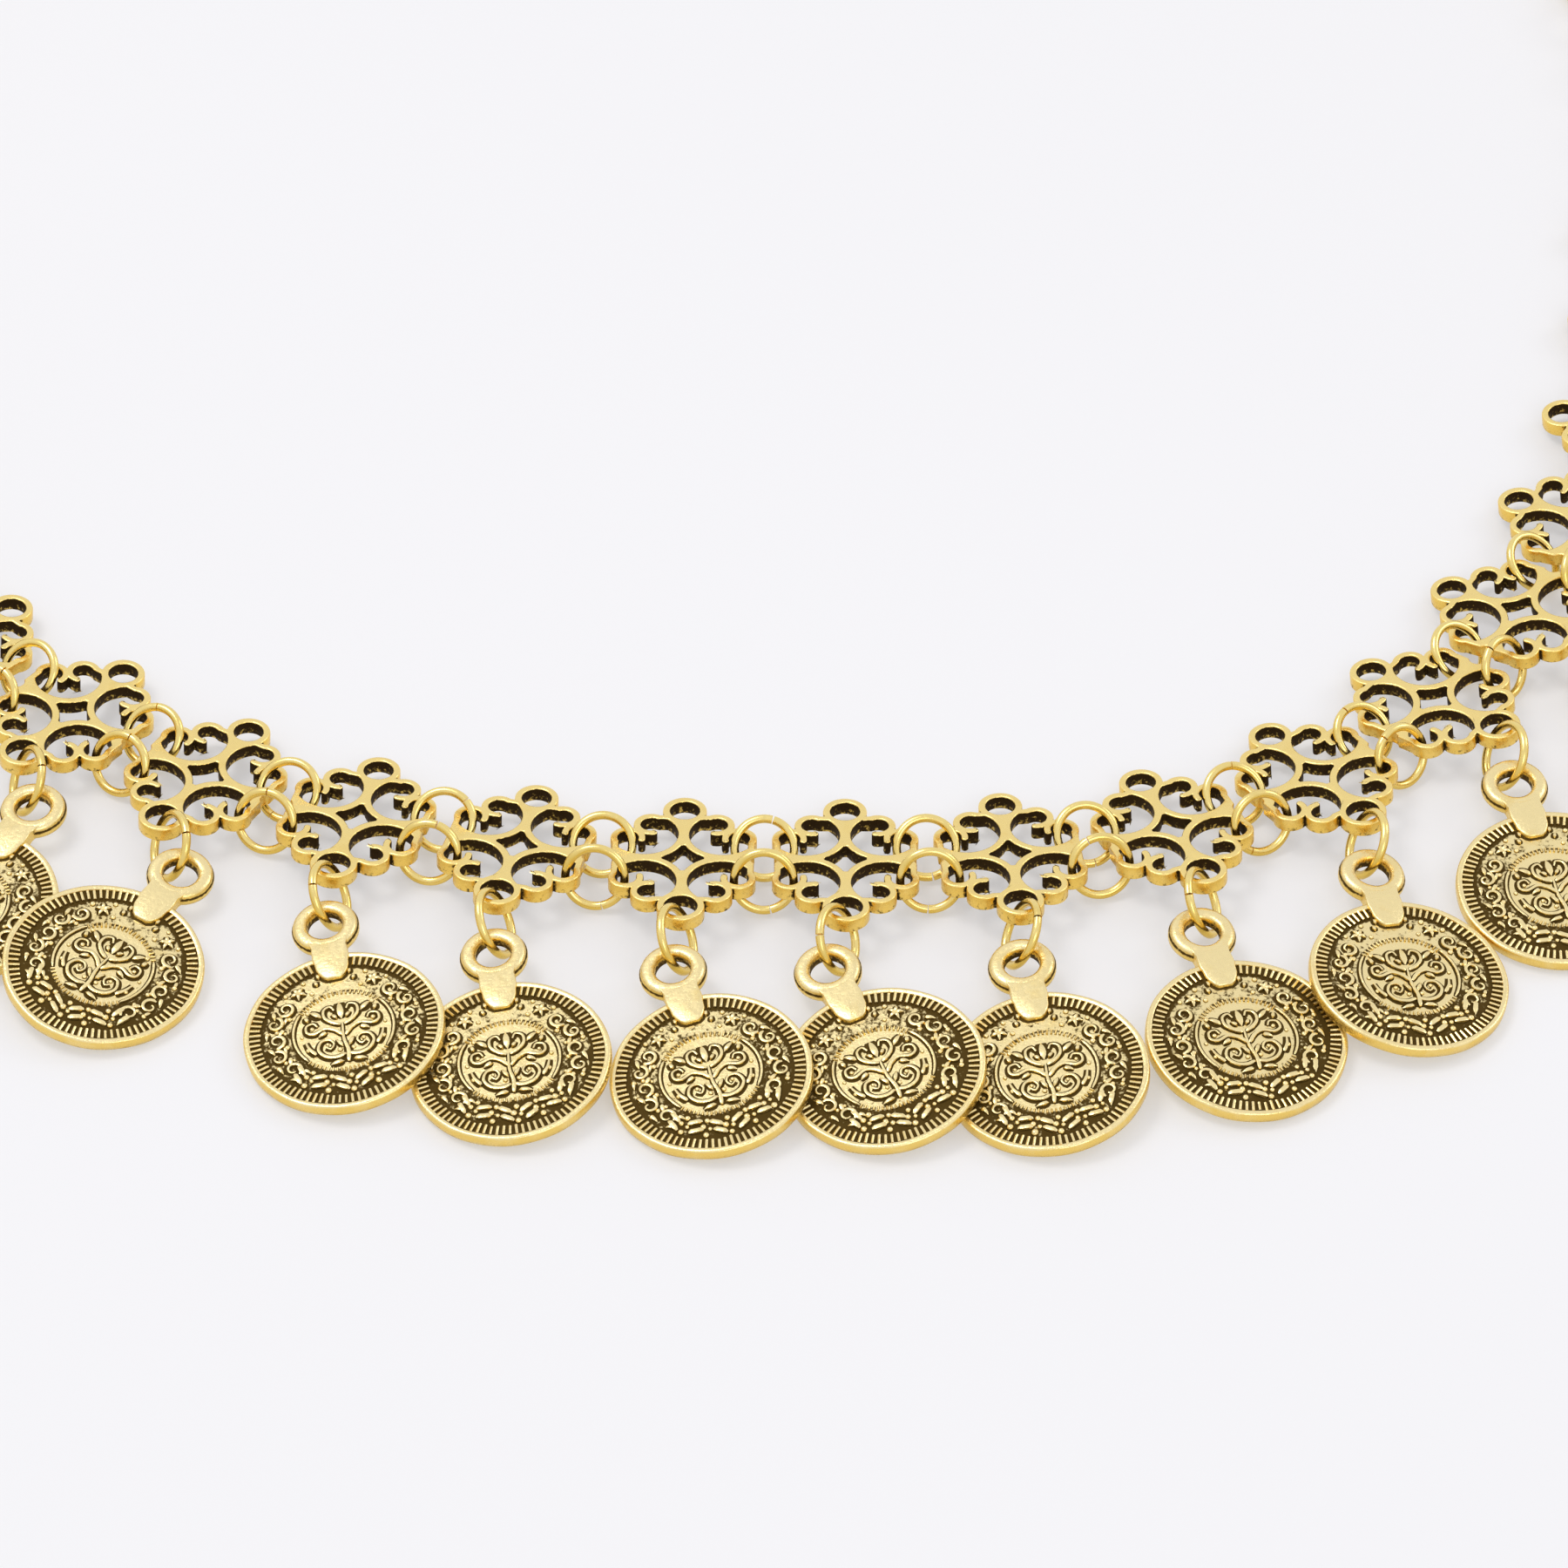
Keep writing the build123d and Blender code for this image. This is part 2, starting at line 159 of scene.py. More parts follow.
class Form:
    """Points, faces and tarnish of a mesh in the making."""

    def __init__(self):
        self.points = []
        self.faces = []
        self.tarnish = []

    def add(self, points, faces, tarnish):
        start = len(self.points)
        self.points.extend(tuple(point) for point in points)
        self.faces.extend(tuple(start + corner for corner in face) for face in faces)
        self.tarnish.extend(tarnish)

    def add_mesh(self, mesh, tarnish_of):
        points = [vert.co / MM for vert in mesh.vertices]
        faces = [tuple(face.vertices) for face in mesh.polygons]
        self.add(points, faces, [tarnish_of(point) for point in points])

    def turned_round(self, profile, segments, centre=(0.0, 0.0), waver=None):
        """A shape of revolution from rows of radius, height and tarnish, closed on its axis or in itself."""
        rows = len(profile)
        points = []
        tarnish = []
        for radius, height, dark in profile:
            for k in range(segments):
                way = FULL_TURN * k / segments
                r = radius if waver is None else radius + waver(way, radius)
                points.append((centre[0] + r * math.cos(way), centre[1] + r * math.sin(way), height))
                tarnish.append(dark)
        faces = []
        loops = rows if profile[0][0] > 0 and profile[-1][0] > 0 else rows - 1
        for row in range(loops):
            below = row * segments
            above = (row + 1) % rows * segments
            for k in range(segments):
                after = (k + 1) % segments
                faces.append((below + k, below + after, above + after, above + k))
        self.add(points, faces, tarnish)

    def stroke(self, path, width, height, level, shape, rng):
        """A raised line along a flat path, with a rounded top and a dark fillet at its foot."""
        path = np.asarray(path, float)
        count = len(path)
        ahead = np.gradient(path, axis=0)
        ahead /= np.maximum(np.linalg.norm(ahead, axis=1), 1e-9)[:, None]
        side = np.c_[-ahead[:, 1], ahead[:, 0]]
        share = np.linspace(0, 1, count)
        wide = width / 2 * shape(share) * (1 + WIDTH_CHANCE * (rng.random(count) - 0.5))
        high = height * np.clip(shape(share) * 1.3, 0.25, 1) * (1 + HEIGHT_CHANCE * (rng.random() - 0.5))
        points = []
        tarnish = []
        for k in range(count):
            for across, beyond, lift, share_up, dark in STROKE_ROWS:
                spot = path[k] + side[k] * (across * (wide[k] + beyond * width / 2))
                points.append((spot[0], spot[1], level + (share_up * high[k] + lift)))
                tarnish.append(dark)
        size = len(STROKE_ROWS)
        faces = []
        for k in range(count - 1):
            for j in range(size):
                a = k * size + j
                b = k * size + (j + 1) % size
                faces.append((a, a + size, b + size, b))
        faces.append(tuple(range(size)))
        faces.append(tuple(reversed(range((count - 1) * size, count * size))))
        self.add(points, faces, tarnish)

    def prism(self, outline, levels):
        """A closed form through copies of an outline, each with its inset, height and tarnish."""
        outline = np.asarray(outline, float)
        count = len(outline)
        before = outline - np.roll(outline, 1, axis=0)
        after = np.roll(outline, -1, axis=0) - outline
        before /= np.linalg.norm(before, axis=1)[:, None]
        after /= np.linalg.norm(after, axis=1)[:, None]
        inward = np.c_[-(before + after)[:, 1], (before + after)[:, 0]]
        inward /= np.linalg.norm(inward, axis=1)[:, None]
        lean = np.maximum(np.abs((inward * np.c_[-after[:, 1], after[:, 0]]).sum(1)), 0.4)
        points = []
        tarnish = []
        for inset, height, dark in levels:
            ring = outline + inward * (inset / lean)[:, None]
            points.extend((x, y, height) for x, y in ring)
            tarnish.extend([dark] * count)
        faces = []
        for row in range(len(levels) - 1):
            for k in range(count):
                a = row * count + k
                b = row * count + (k + 1) % count
                faces.append((a, b, b + count, a + count))
        faces.append(tuple(reversed(range(count))))
        faces.append(tuple(range((len(levels) - 1) * count, len(levels) * count)))
        self.add(points, faces, tarnish)

    def mesh(self, name, smooth_angle=42.0):
        mesh = bpy.data.meshes.new(name)
        mesh.from_pydata([(x * MM, y * MM, z * MM) for x, y, z in self.points], [], self.faces)
        layer = mesh.attributes.new("tarnish", "FLOAT", "POINT")
        layer.data.foreach_set("value", np.array(self.tarnish, np.float32))
        finish_normals(mesh, smooth_angle)
        return mesh


def finish_normals(mesh, smooth_angle):
    bm = bmesh.new()
    bm.from_mesh(mesh)
    bmesh.ops.recalc_face_normals(bm, faces=bm.faces)
    bm.to_mesh(mesh)
    bm.free()
    mesh.shade_smooth()
    mesh.set_sharp_from_angle(angle=math.radians(smooth_angle))


# Flat paths of the ornament

def smooth_path(corners, step=0.17):
    """A smooth path through a few corners."""
    corners = np.asarray(corners, float)
    padded = np.vstack((2 * corners[0] - corners[1], corners, 2 * corners[-1] - corners[-2]))
    path = []
    for k in range(1, len(padded) - 2):
        a, b, c, d = padded[k - 1:k + 3]
        pieces = max(2, int(np.linalg.norm(c - b) / step))
        for t in np.arange(pieces) / pieces:
            path.append(0.5 * (2 * b + (c - a) * t + (2 * a - 5 * b + 4 * c - d) * t**2
                               + (3 * b - a - 3 * c + d) * t**3))
    path.append(corners[-1])
    return np.array(path)


def curl(centre, start_radius, end_radius, start, sweep, step=0.17):
    """A spiral path, angles in degrees."""
    length = math.radians(abs(sweep)) * (start_radius + end_radius) / 2
    share = np.linspace(0, 1, max(7, int(length / step)))
    way = np.radians(start + sweep * share)
    reach = start_radius + (end_radius - start_radius) * share
    return np.c_[centre[0] + reach * np.cos(way), centre[1] + reach * np.sin(way)]


def straight(centre, way, length, pieces=6):
    """A straight path about its middle."""
    share = np.linspace(-0.5, 0.5, pieces)
    way = math.radians(way)
    return np.c_[centre[0] + length * share * math.cos(way), centre[1] + length * share * math.sin(way)]


def polar(radius, way):
    return radius * math.cos(math.radians(way)), radius * math.sin(math.radians(way))


def even(share):
    """Full width with short rounded ends."""
    return np.clip(np.minimum(share, 1 - share) * 9 + 0.45, 0, 1)


def leaf(share):
    """Widest before the middle and pointed at both ends."""
    return np.clip(np.sin(np.pi * share**0.8) ** 0.75, 0.08, 1)


def tapered(share):
    """Thick at the start and thin at the end."""
    return np.clip(np.minimum(share * 8 + 0.5, 1) * (1.1 - 0.65 * share), 0, 1)


# Geometry Nodes for what repeats

# Steps along a ring and round a link's corner, and sides of their wire
RING_STEPS = 56
RING_SIDES = 14
CORNER_STEPS = 9
LINK_SIDES = 12


def new_tree(name, inputs):
    """A node tree with a geometry in and out and named numbers, and the identifiers of these."""
    tree = bpy.data.node_groups.new(name, "GeometryNodeTree")
    tree.interface.new_socket(name="Geometry", in_out="INPUT", socket_type="NodeSocketGeometry")
    tree.interface.new_socket(name="Geometry", in_out="OUTPUT", socket_type="NodeSocketGeometry")
    sockets = {}
    for label, value in inputs.items():
        socket = tree.interface.new_socket(name=label, in_out="INPUT", socket_type="NodeSocketFloat")
        socket.default_value = value
        sockets[label] = socket.identifier
    return tree, sockets


def nodes_of(tree):
    """A maker of nodes that takes the settings and the links of each."""
    def make(kind, settings=None, **links):
        node = tree.nodes.new(kind)
        for label, value in (settings or {}).items():
            setattr(node, label, value)
        for label, source in links.items():
            key = label.replace("_", " ")
            target = next(s for s in node.inputs if s.name == key and s.enabled)
            if isinstance(source, bpy.types.NodeSocket):
                tree.links.new(source, target)
            else:
                target.default_value = source
        return node
    return make


def out(node, label):
    """A node's output by its name."""
    return next(s for s in node.outputs if s.name == label and s.enabled)


def fill(tree, node, *sources):
    """The node with its inputs set in their order, each to a number, a colour or another node's output."""
    for target, source in zip([s for s in node.inputs if s.enabled], sources):
        if isinstance(source, bpy.types.NodeSocket):
            tree.links.new(source, target)
        else:
            target.default_value = source
    return node


def run_tree(tree, sockets, name, points, turns, sizes, values):
    """The tree's result on a set of points, as a plain mesh."""
    mesh = bpy.data.meshes.new(name)
    mesh.from_pydata([tuple(point) for point in points], [], [])
    mesh.attributes.new("turn", "QUATERNION", "POINT")
    mesh.attributes.new("size", "FLOAT", "POINT")
    for k in range(len(points)):
        mesh.attributes["turn"].data[k].value = turns[k]
        mesh.attributes["size"].data[k].value = sizes[k]
    carrier = bpy.data.objects.new(name, mesh)
    bpy.context.scene.collection.objects.link(carrier)
    modifier = carrier.modifiers.new("copies", "NODES")
    modifier.node_group = tree
    for label, value in values.items():
        modifier[sockets[label]] = value
    carrier.update_tag()
    bpy.context.view_layer.update()
    evaluated = carrier.evaluated_get(bpy.context.evaluated_depsgraph_get())
    result = bpy.data.meshes.new_from_object(evaluated)
    carrier.modifiers.remove(modifier)
    bpy.data.objects.remove(carrier)
    return result


def copies_tree(name, inputs, shape_of, material):
    """A tree that puts a shape on every point, makes the copies real and smooth and gives them a material."""
    tree, sockets = new_tree(name, inputs)
    make = nodes_of(tree)
    group = make("NodeGroupInput")
    turn = make("GeometryNodeInputNamedAttribute", {"data_type": "QUATERNION"}, Name="turn")
    size = make("GeometryNodeInputNamedAttribute", {"data_type": "FLOAT"}, Name="size")
    placed = make("GeometryNodeInstanceOnPoints", None, Points=out(group, "Geometry"),
                  Instance=shape_of(tree, make, group), Rotation=out(turn, "Attribute"),
                  Scale=out(size, "Attribute"))
    real = make("GeometryNodeRealizeInstances", None, Geometry=out(placed, "Instances"))
    smooth = make("GeometryNodeSetShadeSmooth", None, Geometry=out(real, "Geometry"))
    painted = make("GeometryNodeSetMaterial", None, Geometry=out(smooth, "Geometry"), Material=material)
    make("NodeGroupOutput", None, Geometry=out(painted, "Geometry"))
    return tree, sockets


def wire_along(make, group, line, sides):
    """Round wire along a curve."""
    wire = make("GeometryNodeCurvePrimitiveCircle", {"mode": "RADIUS"}, Resolution=sides,
                Radius=out(group, "Wire Radius"))
    tube = make("GeometryNodeCurveToMesh", None, Curve=line, Profile_Curve=out(wire, "Curve"), Fill_Caps=True)
    return out(tube, "Mesh")


def ring_shape(tree, make, group):
    """A ring of round wire, cut through at its joint."""
    sweep = fill(tree, make("ShaderNodeMath", {"operation": "SUBTRACT"}), FULL_TURN, out(group, "Joint Angle"))
    arc = make("GeometryNodeCurveArc", {"mode": "RADIUS"}, Resolution=RING_STEPS, Radius=out(group, "Radius"),
               Sweep_Angle=out(sweep, "Value"))
    return wire_along(make, group, out(arc, "Curve"), RING_SIDES)


def link_shape(tree, make, group):
    """A closed oval link of round wire."""
    half = fill(tree, make("ShaderNodeMath", {"operation": "MULTIPLY"}), out(group, "Width"), ALMOST_HALF)
    outline = make("GeometryNodeCurvePrimitiveQuadrilateral", {"mode": "RECTANGLE"}, Width=out(group, "Width"),
                   Height=out(group, "Length"))
    rounded = make("GeometryNodeFilletCurve", {"mode": "POLY"}, Curve=out(outline, "Curve"),
                   Count=CORNER_STEPS, Radius=out(half, "Value"))
    return wire_along(make, group, out(rounded, "Curve"), LINK_SIDES)


def tooth_shape(tree, make, group):
    """A short rounded bar, for a tooth of the coin's edge or a dash of its inner ring."""
    body = make("GeometryNodeMeshCylinder", {"fill_type": "NGON"}, Vertices=8, Side_Segments=1, Fill_Segments=1,
                Radius=0.5, Depth=1.0)
    turned = make("GeometryNodeTransform", None, Geometry=out(body, "Mesh"), Rotation=(0.0, math.pi / 2, 0.0))
    stretch = make("ShaderNodeCombineXYZ", None, X=out(group, "Length"), Y=out(group, "Width"),
                   Z=out(group, "Height"))
    shaped = make("GeometryNodeTransform", None, Geometry=out(turned, "Geometry"), Scale=out(stretch, "Vector"))
    return out(shaped, "Geometry")


def bead_shape(tree, make, group):
    """A small round dome."""
    ball = make("GeometryNodeMeshUVSphere", None, Segments=9, Rings=6, Radius=out(group, "Radius"))
    flat = make("GeometryNodeTransform", None, Geometry=out(ball, "Mesh"), Scale=(1.0, 1.0, 0.85))
    return out(flat, "Geometry")


# Finishes

# Sizes of the unevenness in the gold, as noise scales a metre
CLOUD_SCALE = 420.0
SPECK_SCALE = 2600.0
STREAK_SCALE = 5200.0
STREAK_SHAPE = (1.0, 0.22, 1.0)
PIT_DEPTH = 0.00006
STREAK_DEPTH = 0.00002
# How far the specks shift the tarnish up and down, and the tarnish at which the dark starts and is full
SPECK_GAIN = 1.4
SPECK_SHIFT = -0.7
DARK_START = 0.38
DARK_FULL = 0.7
DARK_ROUGHNESS = 0.6
DARK_METALLIC = 0.5
GLOW_COLOUR = (0.99, 0.985, 1.0, 1.0)


def new_material(name):
    """An empty node material."""
    material = bpy.data.materials.new(name)
    material.use_nodes = True
    material.node_tree.nodes.clear()
    return material, material.node_tree, nodes_of(material.node_tree)


def gold_finish(name, pale, deep, oxide, roughness, grain, oxide_share):
    """Plated gold, paler on level faces than on walls as painted highlight and painted shade, with dark oxide
    where the tarnish is high.
    """
    material, tree, make = new_material(name)
    spot = out(make("ShaderNodeTexCoord"), "Object")
    cloud = make("ShaderNodeTexNoise", None, Vector=spot, Scale=CLOUD_SCALE, Detail=3.0, Roughness=0.55)
    speck = make("ShaderNodeTexNoise", None, Vector=spot, Scale=SPECK_SCALE, Detail=4.0, Roughness=0.6)
    stretch = make("ShaderNodeMapping", None, Vector=spot, Scale=STREAK_SHAPE)
    streak = make("ShaderNodeTexNoise", None, Vector=out(stretch, "Vector"), Scale=STREAK_SCALE, Detail=3.0,
                  Roughness=0.6)
    tarnish = make("ShaderNodeAttribute", {"attribute_name": "tarnish"})

    # Gold, paler in the cloud's patches, and paler where the face is level and deeper on walls as painted
    # highlight and painted shade
    split = make("ShaderNodeSeparateXYZ", None, Vector=out(make("ShaderNodeNewGeometry"), "Normal"))
    level = fill(tree, make("ShaderNodeMath", {"operation": "ABSOLUTE"}), out(split, "Z"))
    # Level faces made paler and walls deeper by which way they face: painted highlight and painted shade
    painted_facing_light = make("ShaderNodeMapRange", None, Value=out(level, "Value"), From_Min=0.25, From_Max=0.9, To_Min=-0.3,
                To_Max=0.35)
    mottle_and_painted_light = fill(tree, make("ShaderNodeMath", {"operation": "ADD"}), out(cloud, "Fac"), out(painted_facing_light, "Result"))
    tone = make("ShaderNodeMapRange", None, Value=out(mottle_and_painted_light, "Value"), From_Min=0.2, From_Max=0.8)
    gold = fill(tree, make("ShaderNodeMix", {"data_type": "RGBA"}), out(tone, "Result"), (*deep, 1.0),
                (*pale, 1.0))

    # Oxide, its edge broken up by the specks
    uneven = fill(tree, make("ShaderNodeMath", {"operation": "MULTIPLY_ADD"}), out(speck, "Fac"), SPECK_GAIN,
                  SPECK_SHIFT)
    patchy = fill(tree, make("ShaderNodeMath", {"operation": "ADD"}), out(uneven, "Value"), out(tarnish, "Fac"))
    dark = make("ShaderNodeMapRange", {"interpolation_type": "SMOOTHSTEP"}, Value=out(patchy, "Value"),
                From_Min=DARK_START, From_Max=DARK_FULL, To_Min=0.0, To_Max=oxide_share)
    share = out(dark, "Result")
    colour = fill(tree, make("ShaderNodeMix", {"data_type": "RGBA"}), share, out(gold, "Result"), (*oxide, 1.0))

    rough = make("ShaderNodeMapRange", None, Value=out(speck, "Fac"), From_Min=0.3, From_Max=0.7,
                 To_Min=roughness - 0.06, To_Max=roughness + 0.12)
    rougher = fill(tree, make("ShaderNodeMix", {"data_type": "FLOAT"}), share, out(rough, "Result"),
                   DARK_ROUGHNESS)
    metal = make("ShaderNodeMapRange", None, Value=share, To_Min=1.0, To_Max=DARK_METALLIC)
    pits = make("ShaderNodeBump", None, Strength=grain, Distance=PIT_DEPTH, Height=out(speck, "Fac"))
    bump = make("ShaderNodeBump", None, Strength=grain, Distance=STREAK_DEPTH, Height=out(streak, "Fac"),
                Normal=out(pits, "Normal"))
    surface = make("ShaderNodeBsdfPrincipled", None, Base_Color=out(colour, "Result"),
                   Roughness=out(rougher, "Result"), Metallic=out(metal, "Result"), Normal=out(bump, "Normal"),
                   Specular_IOR_Level=0.08)
    make("ShaderNodeOutputMaterial", None, Surface=out(surface, "BSDF"))
    return material


def plain_finish(name, colour, roughness, glow):
    """Matt back-lit board with a faint unevenness."""
    material, tree, make = new_material(name)
    spot = out(make("ShaderNodeTexCoord"), "Object")
    cloud = make("ShaderNodeTexNoise", None, Vector=spot, Scale=6.0, Detail=2.0)
    shade = make("ShaderNodeMapRange", None, Value=out(cloud, "Fac"), To_Min=0.97, To_Max=1.0)
    tone = fill(tree, make("ShaderNodeMix", {"data_type": "RGBA", "blend_type": "MULTIPLY"}), 1.0, (*colour, 1.0),
                out(shade, "Result"))
    surface = make("ShaderNodeBsdfPrincipled", None, Base_Color=out(tone, "Result"), Roughness=roughness,
                   Emission_Color=GLOW_COLOUR, Emission_Strength=glow)
    make("ShaderNodeOutputMaterial", None, Surface=out(surface, "BSDF"))
    return material


# Each finish with its colours' settings, its roughness, its grain and how far the oxide covers it
FINISHES = {
    "ring metal": ("wire_pale", "wire_deep", "oxide", 0.2, 0.12, 0.8),
    "plate metal": ("plate_pale", "plate_deep", "oxide", 0.26, 0.7, 1.0),
    "coin metal": ("gold_pale", "gold_deep", "coin_oxide", 0.26, 0.7, 1.0),
}


def finish_named(name):
    """One of the necklace's finishes, each made once."""
    if name not in bpy.data.materials:
        *colours, roughness, grain, oxide_share = FINISHES[name]
        pale, deep, oxide = (getattr(bpy.context.scene.necklace_finish, colour) for colour in colours)
        gold_finish(name, pale, deep, oxide, roughness, grain, oxide_share)
    return bpy.data.materials[name]


def add_piece(mesh, name, material, slot, *nodes):
    """A finished piece in the frame, which rides on the necklace's one body."""
    mesh.name = name
    mesh.materials.clear()
    mesh.materials.append(material)
    piece = bpy.data.objects.new(name, mesh)
    bpy.context.scene.collection.objects.link(piece)
    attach(piece, BODY)
    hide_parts(*nodes)
    return piece


# Settings

class NecklaceCoinSettings(bpy.types.PropertyGroup):
    radius: bpy.props.FloatProperty(name="Radius", description="Radius of a coin", default=0.009, unit="LENGTH")
    thickness: bpy.props.FloatProperty(
        name="Thickness", description="Thickness of a coin", default=0.0012, unit="LENGTH")
    teeth: bpy.props.IntProperty(name="Teeth", description="Teeth round the edge of a coin", default=88, min=12)
    tooth_length: bpy.props.FloatProperty(
        name="Tooth Length", description="Length of a tooth along the radius", default=0.00098, unit="LENGTH")
    lug_out: bpy.props.FloatProperty(
        name="Lug Reach", description="From the coin's middle to its lug's middle",
        default=0.01265, unit="LENGTH")
    lug_hole: bpy.props.FloatProperty(
        name="Lug Hole", description="Radius of the lug's hole", default=0.0016, unit="LENGTH")
    seed: bpy.props.IntProperty(name="Seed", description="Seed of the casting's unevenness", default=4)


class NecklacePlateSettings(bpy.types.PropertyGroup):
    edge_round: bpy.props.FloatProperty(
        name="Edge Round", description="Rounding of the casting's edges", default=0.00016, unit="LENGTH")
    crease_reach: bpy.props.FloatProperty(
        name="Crease Reach", description="How far the dark creases spread", default=0.0006, unit="LENGTH")


class NecklaceRingSettings(bpy.types.PropertyGroup):
    radius: bpy.props.FloatProperty(
        name="Radius", description="Radius of a jump ring at the middle of its wire",
        default=0.0027, unit="LENGTH")
    coin_radius: bpy.props.FloatProperty(
        name="Coin Ring Radius", description="The same of a ring that holds a coin",
        default=0.00295, unit="LENGTH")
    wire: bpy.props.FloatProperty(
        name="Wire", description="Thickness of the rings' wire", default=0.0008, unit="LENGTH")
    joint: bpy.props.FloatProperty(
        name="Joint", description="Width of the cut where a ring's ends meet", default=0.00012, unit="LENGTH")
    link_length: bpy.props.FloatProperty(
        name="Link Length", description="Length of a chain link at the middle of its wire",
        default=0.006, unit="LENGTH")
    link_width: bpy.props.FloatProperty(
        name="Link Width", description="Width of a chain link at the middle of its wire",
        default=0.004, unit="LENGTH")
    link_wire: bpy.props.FloatProperty(
        name="Link Wire", description="Thickness of the links' wire", default=0.001, unit="LENGTH")


class NecklaceFinishSettings(bpy.types.PropertyGroup):
    # The pale colours show on level faces as painted highlight and in paler patches; the deep colours show on
    # walls as painted shade and in richer patches
    gold_pale: bpy.props.FloatVectorProperty(
        name="Pale Gold", description="Worn gold", subtype="COLOR", size=3, default=(0.99, 0.82, 0.42))
    gold_deep: bpy.props.FloatVectorProperty(
        name="Deep Gold", description="Gold with more colour",
        subtype="COLOR", size=3, default=(0.88, 0.62, 0.16))
    plate_pale: bpy.props.FloatVectorProperty(
        name="Pale Plate", description="Worn gold of the plates",
        subtype="COLOR", size=3, default=(1.00, 0.78, 0.30))
    plate_deep: bpy.props.FloatVectorProperty(
        name="Deep Plate", description="The plates' gold with more colour",
        subtype="COLOR", size=3, default=(0.90, 0.61, 0.13))
    wire_pale: bpy.props.FloatVectorProperty(
        name="Pale Wire", description="Worn gold of the rings and links",
        subtype="COLOR", size=3, default=(0.97, 0.77, 0.29))
    wire_deep: bpy.props.FloatVectorProperty(
        name="Deep Wire", description="The wire's gold with more colour",
        subtype="COLOR", size=3, default=(0.80, 0.55, 0.11))
    oxide: bpy.props.FloatVectorProperty(
        name="Oxide", description="Dark finish in the plates' openings",
        subtype="COLOR", size=3, default=(0.040, 0.021, 0.005))
    coin_oxide: bpy.props.FloatVectorProperty(
        name="Coin Oxide", description="Brown finish between the coins' relief",
        subtype="COLOR", size=3, default=(0.085, 0.050, 0.009))


class NecklaceStageSettings(bpy.types.PropertyGroup):
    elevation: bpy.props.FloatProperty(
        name="Elevation", description="Camera's angle above the floor",
        default=math.radians(44), subtype="ANGLE")
    distance: bpy.props.FloatProperty(
        name="Distance", description="Camera's distance from its target", default=0.7, unit="LENGTH")
    target: bpy.props.FloatVectorProperty(
        name="Target", description="Point that the camera looks at",
        size=3, default=(0.0035, -0.0674, 0.0), subtype="XYZ")
    view_width: bpy.props.FloatProperty(
        name="View Width", description="Width seen at the target", default=0.144, unit="LENGTH")
    floor_colour: bpy.props.FloatVectorProperty(
        name="Floor", description="Colour of the floor", subtype="COLOR", size=3, default=(0.50, 0.498, 0.508))
    floor_glow: bpy.props.FloatProperty(
        name="Floor Glow", description="Light that comes through the floor board", default=0.35, min=0.0)


# Coins

# The coin's face, in millimetres: the rim's width, the field's depth below it, the inner ring, the middle and
# the edges of the band, and where the casting's waves begin
RIM = 0.55
FIELD_DEPTH = 0.27
INNER_RING = 4.5
BAND = 6.15
BAND_EDGES = (4.75, 7.1)
WAVES_FROM = 8.3
# Radius about the lug's middle of the arc that ends the neck
NECK_ARC = 2.35
DISC_SEGMENTS = 112
LUG_SEGMENTS = 44
# The inner ring's plain arcs reach this many degrees up and down from its sides
ARC_REACH = 38
LEAF_FULLNESS = 1.25
# Scrolls of the middle plant on its right side, each by its corners, and its stem
SCROLLS = (
    ((0.12, -2.75), (0.95, -3.0), (1.95, -2.7), (2.5, -1.85), (2.15, -0.95), (1.4, -0.85), (1.05, -1.4),
     (1.4, -1.9), (1.75, -1.6)),
    ((0.1, -0.6), (0.75, 0.15), (1.6, 0.5), (2.6, 0.15), (3.25, 0.45), (3.2, 1.2), (2.55, 1.4), (2.25, 0.95)),
    ((0.15, 0.7), (0.85, 1.05), (1.5, 1.75), (1.45, 2.65), (0.85, 2.95), (0.55, 2.45)),
    ((2.75, -2.25), (3.25, -1.5), (3.5, -0.6)),
)
STEM = ((0.0, -3.7), (0.12, -2.4), (-0.1, -1.0), (0.0, 0.9))
# Its leaves, each by its middle, its way, its length and its width
LEAVES = ((0.0, 2.35, 90, 1.9, 0.62), (0.55, -1.35, 60, 1.1, 0.36), (2.25, 2.35, 40, 1.3, 0.42),
          (1.9, -0.1, -25, 1.0, 0.36), (1.05, -3.6, -10, 1.3, 0.36), (3.1, 2.0, 70, 0.8, 0.34),
          (0.62, 1.75, 50, 0.8, 0.3))
VINE_WAYS = (38, 20, 2, -16, -34)
GRAIN_WAYS = np.linspace(222, 318, 11)
# Sizes in metres of the teeth, of the inner ring's dashes and of a bead of size 1
TOOTH = {"Width": 0.00032, "Height": 0.00046}
DASH = {"Length": 0.00042, "Width": 0.0002, "Height": 0.00034}
BEAD = {"Radius": 0.0016}


def mirrored(way, side):
    """A direction in degrees on the right side, or its mirror image on the left."""
    return way if side > 0 else 180 - way


